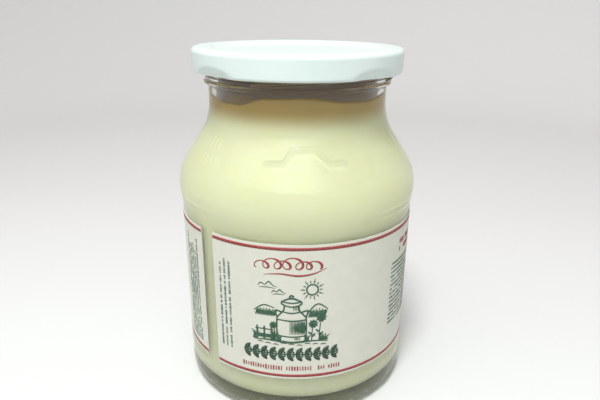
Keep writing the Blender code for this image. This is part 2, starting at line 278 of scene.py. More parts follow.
def make_paper_finish():
    material, shader = new_finish("label_paper", (0.56, 0.565, 0.5), 0.62)
    shader.inputs["Sheen Weight"].default_value = 0.08
    mottle = object_noise(material, 240.0, detail=5.0)
    colour = ramp_between(material, mottle, 0.3, 0.72, ((0.545, 0.55, 0.48), (0.58, 0.585, 0.52)))
    material.node_tree.links.new(colour, shader.inputs["Base Color"])
    fibres = object_noise(material, 2600.0, detail=3.0, stretch=(1.0, 1.0, 0.35))
    bump(material, shader, fibres, 0.00004, strength=0.6)
    return material


def make_ink_finish(name, colour):
    material, shader = new_finish(name, colour, 0.55)
    cover = object_noise(material, 1500.0, detail=3.0)
    lighter = tuple(c + (0.55 - c) * 0.16 for c in colour)
    shade = ramp_between(material, cover, 0.45, 0.8, (colour, lighter))
    material.node_tree.links.new(shade, shader.inputs["Base Color"])
    return material


yogurt_finish = make_yogurt_finish()
paper_finish = make_paper_finish()
red_ink = make_ink_finish("red_ink", (0.25, 0.022, 0.02))
green_ink = make_ink_finish("green_ink", (0.014, 0.075, 0.034))
dark_green_ink = make_ink_finish("dark_green_ink", (0.006, 0.045, 0.018))
small_ink = make_ink_finish("small_print_ink", (0.06, 0.13, 0.09))
print("inks:", red_ink.name, green_ink.name, dark_green_ink.name)

# %% [markdown]
# ## Node trees for what is turned, pressed, repeated and bent
# Geometry Nodes suit this object well: a lid is a profile that goes round an axis, its lugs
# repeat, small print is the same mark again and again, and every line of print is a flat drawing
# bent round a cylinder. The trees are built here in code, with named inputs for their sizes.

# %% Helpers to build a node tree
class Recipe:
    """A Geometry Nodes tree with short ways to add nodes and sums."""

    def __init__(self, name, inputs):
        self.tree = bpy.data.node_groups.new(name, "GeometryNodeTree")
        self.tree.interface.new_socket("Geometry", in_out="INPUT", socket_type="NodeSocketGeometry")
        for label, kind in inputs:
            self.tree.interface.new_socket(label, in_out="INPUT", socket_type="NodeSocket" + kind)
        self.tree.interface.new_socket("Geometry", in_out="OUTPUT", socket_type="NodeSocketGeometry")
        self.start = self.tree.nodes.new("NodeGroupInput").outputs
        self.end = self.tree.nodes.new("NodeGroupOutput").inputs

    def add(self, kind, settings=None, **given):
        """A node with its settings, and its inputs given by name with _ for a space."""
        node = self.tree.nodes.new(kind)
        for key, value in (settings or {}).items():
            setattr(node, key, value)
        for label, value in given.items():
            usable = [s for s in node.inputs if s.enabled and s.name == label.replace("_", " ")]
            self.feed(value, usable[0])
        return node

    def feed(self, value, socket):
        if isinstance(value, bpy.types.NodeSocket):
            self.tree.links.new(value, socket)
        else:
            socket.default_value = value

    def sum(self, operation, *values):
        node = self.tree.nodes.new("ShaderNodeMath")
        node.operation = operation
        for value, socket in zip(values, node.inputs):
            self.feed(value, socket)
        return node.outputs[0]

    def place(self, x, y, z):
        return self.add("ShaderNodeCombineXYZ", X=x, Y=y, Z=z).outputs[0]

    def ramp(self, value, low, high):
        """0 at low and 1 at high, with soft ends."""
        node = self.add("ShaderNodeMapRange", {"interpolation_type": "SMOOTHSTEP"}, Value=value, From_Min=low, From_Max=high)
        return node.outputs[0]

    def finish(self, geometry, material):
        """Every tree ends alike: instances made real, and the material set."""
        real = self.add("GeometryNodeRealizeInstances", Geometry=geometry).outputs[0]
        dressed = self.add("GeometryNodeSetMaterial", Geometry=real, Material=material).outputs[0]
        self.feed(dressed, self.end[0])


def add_recipe(piece, recipe, **values):
    """Puts the tree on a piece and sets its inputs by each socket's identifier."""
    modifier = piece.modifiers.new(recipe.tree.name, "NODES")
    modifier.node_group = recipe.tree
    for item in recipe.tree.interface.items_tree:
        if item.in_out == "INPUT" and item.name.replace(" ", "_") in values:
            modifier[item.identifier] = values[item.name.replace(" ", "_")]
    return modifier


def baked(piece):
    """Turns a piece with modifiers into a plain mesh at the world's origin."""
    graph = bpy.context.evaluated_depsgraph_get()
    mesh = bpy.data.meshes.new_from_object(piece.evaluated_get(graph), depsgraph=graph)
    old = piece.data
    piece.modifiers.clear()
    piece.data = mesh
    bpy.data.meshes.remove(old)
    return piece


def new_piece(name, points, edges=(), faces=()):
    mesh = bpy.data.meshes.new(name)
    mesh.from_pydata(points, edges, faces)
    piece = bpy.data.objects.new(name, mesh)
    bpy.context.scene.collection.objects.link(piece)
    return piece


def triangles(piece):
    return sum(len(face.vertices) - 2 for face in piece.data.polygons)


print("helpers ready")

# %% [markdown]
# ### Turning a profile
# The tree lays a grid with one row for each point of the profile and one column for each step
# round the axis, and then moves every grid point to its radius, height and azimuth. Merging by
# distance closes the seam and the poles. It keeps the row as an attribute, so that a later step
# can tell the outside of a sheet from its inside.

# %% The turning tree
def make_turning_recipe():
    r = Recipe("turn_profile", [("Columns", "Int"), ("Finish", "Material"), ("Inside Finish", "Material"),
                                ("Inside From Row", "Int")])
    profile = r.start["Geometry"]
    rows = r.add("GeometryNodeAttributeDomainSize", Geometry=profile).outputs["Point Count"]
    columns = r.start["Columns"]
    grid = r.add("GeometryNodeMeshGrid", Vertices_X=r.sum("ADD", columns, 1.0), Vertices_Y=rows).outputs["Mesh"]
    index = r.add("GeometryNodeInputIndex").outputs[0]
    row = r.sum("MODULO", index, rows)
    column = r.sum("FLOOR", r.sum("DIVIDE", r.sum("ADD", index, 0.5), rows))
    here = r.add("GeometryNodeInputPosition").outputs[0]
    sample = r.add("GeometryNodeSampleIndex", {"data_type": "FLOAT_VECTOR"}, Geometry=profile, Value=here, Index=row)
    split = r.add("ShaderNodeSeparateXYZ", Vector=sample.outputs[0]).outputs
    angle = r.sum("MULTIPLY", r.sum("DIVIDE", column, columns), 2.0 * math.pi)
    across = r.sum("MULTIPLY", split["X"], r.sum("SINE", angle))
    ahead = r.sum("MULTIPLY", r.sum("MULTIPLY", split["X"], r.sum("COSINE", angle)), -1.0)
    named = r.add("GeometryNodeStoreNamedAttribute", {"data_type": "FLOAT"}, Geometry=grid, Name="row", Value=row)
    turned = r.add("GeometryNodeSetPosition", Geometry=named.outputs[0], Position=r.place(across, ahead, split["Z"]))
    merged = r.add("GeometryNodeMergeByDistance", Geometry=turned.outputs[0], Distance=1e-6)
    rounded = r.add("GeometryNodeSetShadeSmooth", Geometry=merged.outputs[0])
    outside = r.add("GeometryNodeSetMaterial", Geometry=rounded.outputs[0], Material=r.start["Finish"]).outputs[0]
    row_again = r.add("GeometryNodeInputNamedAttribute", {"data_type": "FLOAT"}, Name="row").outputs[0]
    inside = r.sum("GREATER_THAN", row_again, r.start["Inside From Row"])
    real = r.add("GeometryNodeRealizeInstances", Geometry=outside).outputs[0]
    dressed = r.add("GeometryNodeSetMaterial", Geometry=real, Selection=inside, Material=r.start["Inside Finish"])
    r.feed(dressed.outputs[0], r.end[0])
    return r


turning_recipe = make_turning_recipe()
print("turning tree has", len(turning_recipe.tree.nodes), "nodes")


# %% [markdown]
# ### Pressing the lugs
# A twist-off lid is held by lugs: short stretches of its curled edge pressed inwards, so that
# they hook under the glass thread. From outside each shows as a dent with an arched upper edge.
# The tree moves each point of the skirt inwards by how deep it lies inside the arch, which is
# half an ellipse over the lug's middle.

# %% The lug tree
LUG_FLAT_SHARE = 0.2


def make_lug_recipe():
    r = Recipe("press_lugs", [("Count", "Int"), ("First Azimuth", "Float"), ("Half Width", "Float"),
                              ("Depth", "Float"), ("Foot", "Float"), ("Rise", "Float"),
                              ("Finish", "Material"), ("Inside From Row", "Int")])
    here = r.add("GeometryNodeInputPosition").outputs[0]
    split = r.add("ShaderNodeSeparateXYZ", Vector=here).outputs
    azimuth = r.sum("ARCTAN2", split["X"], r.sum("MULTIPLY", split["Y"], -1.0))
    half_pitch = r.sum("DIVIDE", math.pi, r.start["Count"])
    from_lug = r.sum("WRAP", r.sum("SUBTRACT", azimuth, r.start["First Azimuth"]), half_pitch,
                     r.sum("MULTIPLY", half_pitch, -1.0))
    along = r.sum("DIVIDE", from_lug, r.start["Half Width"])
    above = r.sum("DIVIDE", r.sum("MAXIMUM", r.sum("SUBTRACT", split["Z"], r.start["Foot"]), 0.0), r.start["Rise"])
    apart = r.sum("SQRT", r.sum("ADD", r.sum("POWER", r.sum("ABSOLUTE", along), 2.0), r.sum("POWER", above, 2.0)))
    near = r.ramp(apart, 1.0, LUG_FLAT_SHARE)
    radius = r.sum("SQRT", r.sum("ADD", r.sum("MULTIPLY", split["X"], split["X"]), r.sum("MULTIPLY", split["Y"], split["Y"])))
    shift = r.sum("MULTIPLY", r.start["Depth"], near)
    share = r.sum("SUBTRACT", 1.0, r.sum("DIVIDE", shift, r.sum("MAXIMUM", radius, 0.001)))
    moved = r.place(r.sum("MULTIPLY", split["X"], share), r.sum("MULTIPLY", split["Y"], share), split["Z"])
    pressed = r.add("GeometryNodeSetPosition", Geometry=r.start["Geometry"], Position=moved).outputs[0]
    real = r.add("GeometryNodeRealizeInstances", Geometry=pressed).outputs[0]
    row = r.add("GeometryNodeInputNamedAttribute", {"data_type": "FLOAT"}, Name="row").outputs[0]
    outside = r.sum("SUBTRACT", 1.0, r.sum("GREATER_THAN", row, r.start["Inside From Row"]))
    dressed = r.add("GeometryNodeSetMaterial", Geometry=real, Selection=outside, Material=r.start["Finish"])
    r.feed(dressed.outputs[0], r.end[0])
    return r


lug_recipe = make_lug_recipe()
print("lug tree has", len(lug_recipe.tree.nodes), "nodes")


# %% [markdown]
# ## The lid
# One sheet of tinplate: a panel that sits a little lower than the rim, a rounded shoulder, a
# nearly upright skirt, and a curled edge. The profile runs from the middle of the top over the
# outside, round the curl and back along the inside. Its second half gets the golden lacquer.

# %% The lid's profile and piece
def lid_profile():
    panel = LID_TOP - PANEL_DROP
    rim_in = PANEL_RADIUS + 1.4 * MM
    foot = LID_RADIUS - LID_TAPER
    outside = filleted([
        (0.0, panel, 0.0), (PANEL_RADIUS, panel, 0.7 * MM), (rim_in, LID_TOP, 0.9 * MM),
        (LID_RADIUS, LID_TOP, LID_CORNER), (foot, LID_BOTTOM + CURL_RADIUS + 0.2 * MM, 0.0)], 8)
    curl = arc((foot - CURL_RADIUS, LID_BOTTOM + CURL_RADIUS), CURL_RADIUS, 0.0, -215.0, 16)
    inside = filleted([
        (foot - 1.1 * CURL_RADIUS, LID_BOTTOM + 1.95 * CURL_RADIUS, 0.0),
        (foot - LID_SHEET, LID_BOTTOM + 2.6 * CURL_RADIUS, 0.2 * MM),
        (LID_RADIUS - LID_SHEET, LID_TOP - LID_SHEET, LID_CORNER - LID_SHEET),
        (rim_in + 0.15 * MM, LID_TOP - LID_SHEET, 0.4 * MM),
        (PANEL_RADIUS + 0.15 * MM, panel - LID_SHEET, 0.4 * MM), (0.0, panel - LID_SHEET, 0.0)], 5)
    first = stepped(outside, 0.5 * MM) + curl
    return [(0.0, panel)] + [p for p in first[1:]] + stepped(inside, 0.8 * MM), len(first)


def thin_middle(points, radius, step):
    """Drops points of the flat middle that lie closer than step to each other."""
    kept = [points[0]]
    for point in points[1:]:
        if point[0] < radius and kept[-1][0] < radius and math.dist(point, kept[-1]) < step and point[0] > 0.0:
            continue
        kept.append(point)
    return kept


def make_lid():
    profile, inside_row = lid_profile()
    flat = PANEL_RADIUS - 2.0 * MM
    dropped = len(profile[:inside_row]) - len(thin_middle(profile[:inside_row], flat, 4.0 * MM))
    profile = thin_middle(profile, flat, 4.0 * MM)
    lid = new_piece("lid_shell", [(radius, 0.0, z) for radius, z in profile])
    add_recipe(lid, turning_recipe, Columns=360, Finish=enamel_finish, Inside_Finish=lacquer_finish,
               Inside_From_Row=inside_row - dropped - 3)
    add_recipe(lid, lug_recipe, Count=LUG_COUNT, First_Azimuth=math.radians(LUG_FIRST),
               Half_Width=math.radians(LUG_HALF_WIDTH), Depth=LUG_DEPTH, Foot=LID_BOTTOM, Rise=LUG_RISE,
               Finish=enamel_finish, Inside_From_Row=inside_row - dropped - 3)
    return baked(lid)


lid = make_lid()
print("lid:", triangles(lid), "triangles")

# %% [markdown]
# ## The glass jar
# The jar is one closed wall, turned from its profile. Its thread, its raised line and its side
# marks are one with the glass, so they are made by moving points of the outer wall outwards,
# which keeps a single skin: a second body inside clear glass would show as a ghost. The columns
# are closer together where there is relief.

# %% The jar's profile
def glass_profile():
    inner_heel = (BODY_INNER_RADIUS - 8.0 * MM, 13.2 * MM)
    neck = (NECK_RADIUS + NECK_ARC_RADIUS, NECK_ARC_HEIGHT)
    bulge = (BULGE_RADIUS - BULGE_ARC_RADIUS, BULGE_HEIGHT)
    inside = [(0.0, 6.6 * MM), (16.0 * MM, 6.3 * MM)] + arc(inner_heel, 8.0 * MM, -90.0, 0.0, 8)
    inside += [(BODY_INNER_RADIUS, BODY_INNER_TOP)]
    inside += arc(bulge, BULGE_ARC_RADIUS - BULGE_WALL, 0.0, SHOULDER_ANGLE, 8)
    inside += arc(neck, NECK_ARC_RADIUS + NECK_WALL, 180.0 + SHOULDER_ANGLE, 180.0, 8)
    lip = arc((BORE_RADIUS + 1.2 * MM, LIP_TOP - 1.2 * MM), 1.2 * MM, 180.0, 90.0, 5)
    lip += arc((FINISH_RADIUS - 1.0 * MM, LIP_TOP - 1.0 * MM), 1.0 * MM, 90.0, 0.0, 5)
    finish = filleted([
        (FINISH_RADIUS, LIP_TOP - 1.0 * MM, 0.0), (FINISH_RADIUS, BEAD_TOP, 0.3 * MM),
        (BEAD_RADIUS, BEAD_TOP - 0.45 * MM, 0.3 * MM), (BEAD_RADIUS, BEAD_BOTTOM + 0.45 * MM, 0.35 * MM),
        (NECK_RADIUS + 0.25 * MM, BEAD_BOTTOM, 0.2 * MM), (NECK_RADIUS, BEAD_BOTTOM - 0.9 * MM, 1.0 * MM),
        (NECK_RADIUS, NECK_ARC_HEIGHT, 0.0)], 4)
    shoulder = arc(neck, NECK_ARC_RADIUS, 180.0, 180.0 + SHOULDER_ANGLE, 12)
    shoulder += arc(bulge, BULGE_ARC_RADIUS, SHOULDER_ANGLE, 2.0, 14)
    below = filleted([
        (43.57 * MM, 76.3 * MM, 0.0), (43.52 * MM, 75.7 * MM, 0.5 * MM), (43.18 * MM, 74.7 * MM, 0.5 * MM),
        (43.22 * MM, 73.4 * MM, 0.5 * MM), (42.85 * MM, 72.1 * MM, 0.8 * MM), (42.87 * MM, 69.2 * MM, 0.6 * MM),
        (LABEL_INNER - 0.03 * MM, 68.4 * MM, 0.5 * MM), (LABEL_INNER - 0.03 * MM, 15.3 * MM, 0.5 * MM),
        (HEEL_BAND_RADIUS, 13.9 * MM, 1.0 * MM), (HEEL_BAND_RADIUS, HEEL_RADIUS, 0.0)], 5)
    heel = arc((HEEL_BAND_RADIUS - HEEL_RADIUS, HEEL_RADIUS), HEEL_RADIUS, 0.0, -90.0, 10)
    base = [(34.6 * MM, 0.0), (33.6 * MM, 0.25 * MM), (32.0 * MM, 1.0 * MM), (30.0 * MM, 1.5 * MM), (0.0, 2.0 * MM)]
    skins = stepped(finish[1:], 0.33 * MM)[:-1] + stepped(shoulder, 0.5 * MM)
    return inside + lip[1:] + stepped([lip[-1], finish[1]], 0.33 * MM)[1:-1] + skins + below[1:] + heel[1:] + base


jar_profile = glass_profile()
print("glass profile has", len(jar_profile), "points")

# %% Where the relief is
RELIEF_HIGH, RELIEF_LOW = 96.0 * MM, 92.0 * MM
RELIEF_AZIMUTHS = (-14.3, -6.2, -1.6, 10.0, 15.4, 24.2)
RELIEF_HEIGHTS = (RELIEF_LOW, RELIEF_LOW, RELIEF_HIGH, RELIEF_HIGH, RELIEF_LOW, RELIEF_LOW)
RELIEF_HALF_WIDTH, RELIEF_PROUD = 1.25 * MM, 0.75 * MM
MARK_GROUPS = (-49.0, 63.0)
MARK_ROWS = ((88.9 * MM, 91.5 * MM, 4), (93.5 * MM, 96.5 * MM, 3))
MARK_PITCH, MARK_HALF_WIDTH, MARK_PROUD = 3.6, 0.7 * MM, 0.45 * MM
THREAD_HALF_WIDTH, THREAD_PROUD, THREAD_STOP = 0.85 * MM, 1.3 * MM, 21.5
SLANT = 1.0 / math.cos(math.radians(SHOULDER_ANGLE))


def distance_to_stretch(point, a, b):
    """Distance from a point to a straight stretch, all in metres on the unrolled glass."""
    ab = (b[0] - a[0], b[1] - a[1])
    along = ((point[0] - a[0]) * ab[0] + (point[1] - a[1]) * ab[1]) / (ab[0] ** 2 + ab[1] ** 2)
    along = min(max(along, 0.0), 1.0)
    return math.dist(point, (a[0] + ab[0] * along, a[1] + ab[1] * along))


def shoulder_relief(azimuth, height, radius):
    """How far the raised line and the side marks stand out at a place on the shoulder."""
    def unrolled(a, z):
        return (math.radians(a) * radius, z * SLANT)
    here = unrolled(azimuth, height)
    line = [unrolled(a, z) for a, z in zip(RELIEF_AZIMUTHS, RELIEF_HEIGHTS)]
    gap = min(distance_to_stretch(here, a, b) for a, b in zip(line, line[1:]))
    proud = RELIEF_PROUD * smooth(1.35 * (1.0 - gap / RELIEF_HALF_WIDTH))
    for centre in MARK_GROUPS:
        if abs(azimuth - centre) > 3.0 * MARK_PITCH:
            continue
        for low, high, count in MARK_ROWS:
            for i in range(count):
                at = centre + (i - (count - 1) / 2.0) * MARK_PITCH
                gap = distance_to_stretch(here, unrolled(at, low), unrolled(at, high))
                proud = max(proud, MARK_PROUD * smooth(1.3 * (1.0 - gap / MARK_HALF_WIDTH)))
    return proud


def thread_relief(azimuth, height):
    """How far the four thread ridges stand out of the finish."""
    proud = 0.0
    for i in range(LUG_COUNT):
        turned = (azimuth - LUG_FIRST - 360.0 / LUG_COUNT * i + 180.0) % 360.0 - 180.0
        if not -3.2 * THREAD_STOP < turned < 1.2 * THREAD_STOP:
            continue
        low_run = min(max((turned + 3.0 * THREAD_STOP) / (2.0 * THREAD_STOP), 0.0), 1.0)
        centre = 115.0 * MM + 1.5 * MM * low_run
        centre += 2.7 * MM * smooth((turned + THREAD_STOP) / (0.5 * THREAD_STOP))
        centre += 1.3 * MM * min(max(turned / THREAD_STOP, 0.0), 1.0)
        ends = smooth((turned + 3.2 * THREAD_STOP) / 5.0) * smooth((1.2 * THREAD_STOP - turned) / 5.0)
        across = smooth(1.4 * (1.0 - abs(height - centre) / THREAD_HALF_WIDTH))
        proud = max(proud, THREAD_PROUD * ends * across)
    return proud


print("raised line from", RELIEF_AZIMUTHS[0], "to", RELIEF_AZIMUTHS[-1], "degrees")


# %% The jar's piece
def relief_columns():
    """Azimuths of the columns: close together where the shoulder has relief."""
    fine = ((-57.5, -40.5, 0.5), (-16.0, 26.0, 0.42), (54.5, 71.5, 0.5))
    azimuths = []
    at = -180.0
    while at < 180.0 - 1e-6:
        azimuths.append(at)
        step = 1.4
        for low, high, close in fine:
            if low <= at < high:
                step = close
            elif at < low < at + step:
                step = low - at
        at += step
    return azimuths


def make_glass():
    azimuths = relief_columns()
    rows = [p for p in jar_profile if p[0] > 1e-6]
    count = len(azimuths)
    lip_row = max(range(len(rows)), key=lambda i: rows[i][1])
    points = []
    for i, (radius, height) in enumerate(rows):
        on_shoulder = i > lip_row and 86.0 * MM < height < 99.0 * MM
        on_finish = i > lip_row and 113.2 * MM < height < 122.0 * MM
        for azimuth in azimuths:
            out, up = 0.0, 0.0
            if on_shoulder and -58.0 < azimuth < 73.0:
                proud = shoulder_relief(azimuth, height, radius)
                out = proud * math.cos(math.radians(SHOULDER_ANGLE))
                up = proud * math.sin(math.radians(SHOULDER_ANGLE))
            elif on_finish:
                out = thread_relief(azimuth, height)
            turn = math.radians(azimuth)
            points.append(((radius + out) * math.sin(turn), -(radius + out) * math.cos(turn), height + up))
    faces = []
    for i in range(len(rows) - 1):
        for j in range(count):
            k = (j + 1) % count
            faces.append((i * count + j, (i + 1) * count + j, (i + 1) * count + k, i * count + k))
    top, bottom = len(points), len(points) + 1
    points += [(0.0, 0.0, jar_profile[0][1]), (0.0, 0.0, jar_profile[-1][1])]
    last = (len(rows) - 1) * count
    for j in range(count):
        k = (j + 1) % count
        faces.append((j, k, top))
        faces.append((last + k, last + j, bottom))
    jar = new_piece("jar_glass", points, faces=faces)
    work = bmesh.new()
    work.from_mesh(jar.data)
    bmesh.ops.recalc_face_normals(work, faces=work.faces)
    work.to_mesh(jar.data)
    work.free()
    jar.data.materials.append(glass_finish)
    jar.data.shade_smooth()
    return jar


jar = make_glass()
print("jar:", triangles(jar), "triangles")

# %% [markdown]
# ## The yogurt
# It fills the jar to just under the bead of the neck. Its side reaches a tenth of a millimetre
# into the glass wall, so that no film of air shows between them. Its top has a small meniscus
# and the faint swells of a set surface, turned with the same tree as the lid. Yogurt never ends
# in a clean ring: it clings to the glass higher in some places, so its rim goes up and down.

# %% The yogurt's piece
INTO_WALL = 0.12 * MM
MENISCUS_RISE, MENISCUS_WIDTH = 0.5 * MM, 1.6 * MM
RIM_SMEAR = ((-84, 3.2), (-70, -0.3), (-55, -1.9), (-38, -1.8), (-20, 1.0), (5, 1.5), (32, -0.4), (48, -0.9),
             (70, 0.4), (84, 3.4), (110, 5.6), (145, 6.0), (180, 6.2), (215, 6.0), (250, 5.6))


def yogurt_profile():
    neck = (NECK_RADIUS + NECK_ARC_RADIUS, NECK_ARC_HEIGHT)
    bulge = (BULGE_RADIUS - BULGE_ARC_RADIUS, BULGE_HEIGHT)
    wall = NECK_RADIUS - NECK_WALL + INTO_WALL
    side = [(wall, YOGURT_LEVEL + MENISCUS_RISE), (wall, YOGURT_LEVEL - 0.4 * MM), (wall, YOGURT_LEVEL - 1.3 * MM)]
    side += arc(neck, NECK_ARC_RADIUS + NECK_WALL - INTO_WALL, 180.0, 180.0 + SHOULDER_ANGLE, 10)
    side += arc(bulge, BULGE_ARC_RADIUS - BULGE_WALL + INTO_WALL, SHOULDER_ANGLE, 0.0, 10)
    side += [(BODY_INNER_RADIUS + INTO_WALL, BODY_INNER_TOP)]
    inner_heel = (BODY_INNER_RADIUS - 8.0 * MM, 13.2 * MM)
    side += arc(inner_heel, 8.0 * MM + INTO_WALL, 0.0, -90.0, 8)
    rim = side[0][0]
    top = [(rim * i / 18.0, YOGURT_LEVEL) for i in range(17)]
    for i in range(1, 5):
        share = i / 5.0
        top.append((rim - MENISCUS_WIDTH * (1.0 - share), YOGURT_LEVEL + MENISCUS_RISE * share ** 3))
    return top + side + [(0.0, 6.6 * MM - INTO_WALL)]


def rim_height(azimuth):
    """How far the rim stands above or below the level at an azimuth, in metres."""
    around = [(RIM_SMEAR[-1][0] - 360.0, RIM_SMEAR[-1][1])] + list(RIM_SMEAR) + [(RIM_SMEAR[0][0] + 360.0, RIM_SMEAR[0][1])]
    at = (azimuth - around[0][0]) % 360.0 + around[0][0]
    for (a0, h0), (a1, h1) in zip(around, around[1:]):
        if a0 <= at <= a1:
            return (h0 + (h1 - h0) * smooth((at - a0) / (a1 - a0))) * MM
    return around[-1][1] * MM


def make_yogurt():
    yogurt = new_piece("yogurt_fill", [(radius, 0.0, z) for radius, z in yogurt_profile()])
    add_recipe(yogurt, turning_recipe, Columns=180, Finish=yogurt_finish, Inside_Finish=yogurt_finish,
               Inside_From_Row=1000)
    baked(yogurt)
    foot = NECK_ARC_HEIGHT
    for vertex in yogurt.data.vertices:
        radius = math.hypot(vertex.co.x, vertex.co.y)
        azimuth = math.degrees(math.atan2(vertex.co.x, -vertex.co.y))
        if vertex.co.z > foot:
            near_wall = smooth((radius - BORE_RADIUS + 5.0 * MM) / (5.0 * MM))
            vertex.co.z += rim_height(azimuth) * near_wall * min((vertex.co.z - foot) / (YOGURT_LEVEL - foot), 1.0)
            swell = math.sin(190.0 * vertex.co.x + 1.3) * math.sin(160.0 * vertex.co.y + 0.4)
            vertex.co.z += 0.25 * MM * swell * (1.0 - near_wall)
    return yogurt


yogurt = make_yogurt()
print("yogurt:", triangles(yogurt), "triangles")

# %% [markdown]
# ## The label
# A paper strip wrapped round the jar with a narrow gap between its ends. Paper pulled round by a
# labelling machine keeps very slight long waves, and its ends stand off by a hair. It is made as
# a thin closed sheet, finely divided so that it bends round.

# %% The label's sheet
def label_azimuths():
    count = 300
    return [LABEL_START + (LABEL_END - LABEL_START) * i / count for i in range(count + 1)]


def make_label():
    heights = [LABEL_BOTTOM + (LABEL_TOP - LABEL_BOTTOM) * i / 40.0 for i in range(41)]
    azimuths = label_azimuths()
    points = []
    for skin in (LABEL_INNER, LABEL_OUTER):
        for azimuth in azimuths:
            from_end = min(azimuth - LABEL_START, LABEL_END - azimuth)
            lift = 0.06 * MM * (1.0 - smooth(from_end / 1.5))
            for height in heights:
                wave = 0.02 * MM * math.sin(0.21 * azimuth + 3.0 * math.sin(height * 90.0))
                radius = skin + lift + wave
                turn = math.radians(azimuth)
                points.append((radius * math.sin(turn), -radius * math.cos(turn), height))
    rows, columns = len(heights), len(azimuths)
    skin_size = rows * columns
    faces = []
    for j in range(columns - 1):
        for i in range(rows - 1):
            a, b = j * rows + i, (j + 1) * rows + i
            faces.append((a, a + 1, b + 1, b))
            faces.append((skin_size + a, skin_size + b, skin_size + b + 1, skin_size + a + 1))
        for i in (0, rows - 1):
            a, b = j * rows + i, (j + 1) * rows + i
            edge = (a, b, skin_size + b, skin_size + a)
            faces.append(edge if i == 0 else edge[::-1])
    for j in (0, columns - 1):
        for i in range(rows - 1):
            a = j * rows + i
            edge = (a, skin_size + a, skin_size + a + 1, a + 1)
            faces.append(edge if j == 0 else edge[::-1])
    sheet = new_piece("label_sheet", points, faces=faces)
    work = bmesh.new()
    work.from_mesh(sheet.data)
    bmesh.ops.recalc_face_normals(work, faces=work.faces)
    work.to_mesh(sheet.data)
    work.free()
    sheet.data.materials.append(paper_finish)
    sheet.data.shade_smooth()
    sheet.data.set_sharp_from_angle(angle=math.radians(40.0))
    return sheet


label = make_label()
print("label:", triangles(label), "triangles")

# %% [markdown]
# ## Print on the label
# The print is drawn flat first, as pen strokes on the unrolled label: x is the length round the
# jar from the front, y the height, both in millimetres. Each stroke is a chain of points that
# carries its own pen width. The tree sweeps a thin nib along each chain, gives the ink an even
# thickness, and bends the drawing round the jar. The motifs are a plain milk can, daisies, hills
# and a leaf border, and what would be words is a row of plain marks.

# %% The bending step and the pen tree
PRINT_RADIUS = LABEL_OUTER + 0.02 * MM
INK_THICKNESS = 0.09 * MM


def bend_round(r, geometry, thickness):
    """Moves flat ink on the XY plane to the print radius; its z becomes depth in the paper."""
    split = r.add("ShaderNodeSeparateXYZ", Vector=r.add("GeometryNodeInputPosition").outputs[0]).outputs
    radius = r.sum("ADD", PRINT_RADIUS, r.sum("MULTIPLY", r.sum("SIGN", split["Z"]), r.sum("MULTIPLY", thickness, 0.5)))
    angle = r.sum("DIVIDE", split["X"], PRINT_RADIUS)
    x = r.sum("MULTIPLY", radius, r.sum("SINE", angle))
    y = r.sum("MULTIPLY", r.sum("MULTIPLY", radius, r.sum("COSINE", angle)), -1.0)
    return r.add("GeometryNodeSetPosition", Geometry=geometry, Position=r.place(x, y, split["Y"])).outputs[0]


def make_pen_recipe():
    r = Recipe("pen_strokes", [("Thickness", "Float"), ("Ink", "Material")])
    width = r.add("GeometryNodeInputNamedAttribute", {"data_type": "FLOAT"}, Name="pen_width").outputs[0]
    chain = r.add("GeometryNodeMeshToCurve", Mesh=r.start["Geometry"]).outputs[0]
    upright = r.add("GeometryNodeSetCurveNormal", {"mode": "Z_UP"} if hasattr(
        bpy.types.GeometryNodeSetCurveNormal, "mode") else None, Curve=chain).outputs[0]
    sized = r.add("GeometryNodeSetCurveRadius", Curve=upright, Radius=width).outputs[0]
    nib = r.add("GeometryNodeCurvePrimitiveQuadrilateral", Width=1.0, Height=0.1).outputs[0]
    swept = r.add("GeometryNodeCurveToMesh", Curve=sized, Profile_Curve=nib, Fill_Caps=True)
    scale = [s for s in swept.inputs if s.name == "Scale"]
    if scale:
        r.feed(width, scale[0])
    bent = bend_round(r, swept.outputs[0], r.start["Thickness"])
    r.finish(bent, r.start["Ink"])
    return r


pen_recipe = make_pen_recipe()
print("pen tree has", len(pen_recipe.tree.nodes), "nodes")

# %% Drawing helpers: strokes in millimetres on the unrolled label
def curved(points, steps=8):
    """A smooth line through a few (x, y, width) points, as a Catmull-Rom spline."""
    ends = [points[0]] + list(points) + [points[-1]]
    out = []
    for i in range(1, len(ends) - 2):
        p0, p1, p2, p3 = ends[i - 1], ends[i], ends[i + 1], ends[i + 2]
        for step in range(steps):
            t = step / steps
            out.append(tuple(
                0.5 * (2 * b + (c - a) * t + (2 * a - 5 * b + 4 * c - d) * t * t + (3 * b - a - 3 * c + d) * t ** 3)
                for a, b, c, d in zip(p0, p1, p2, p3)))
    return out + [points[-1]]


def straight(x0, y0, x1, y1, width, longest=1.2):
    count = max(1, math.ceil(math.hypot(x1 - x0, y1 - y0) / longest))
    return [(x0 + (x1 - x0) * i / count, y0 + (y1 - y0) * i / count, width) for i in range(count + 1)]


def ring(x, y, radius, width, first=0.0, last=360.0, steps=20, squash=1.0):
    angles = [math.radians(first + (last - first) * i / steps) for i in range(steps + 1)]
    return [(x + radius * math.cos(a), y + squash * radius * math.sin(a), width) for a in angles]


def leaf(x, y, direction, length, width):
    """One leaf as a stroke whose pen swells and thins again."""
    a = math.radians(direction)
    out = []
    for i in range(9):
        t = i / 8.0
        swell = width * math.sin(math.pi * min(t * 0.94 + 0.06, 1.0)) ** 0.8
        out.append((x + math.cos(a) * length * t, y + math.sin(a) * length * t, max(swell, 0.05)))
    return out


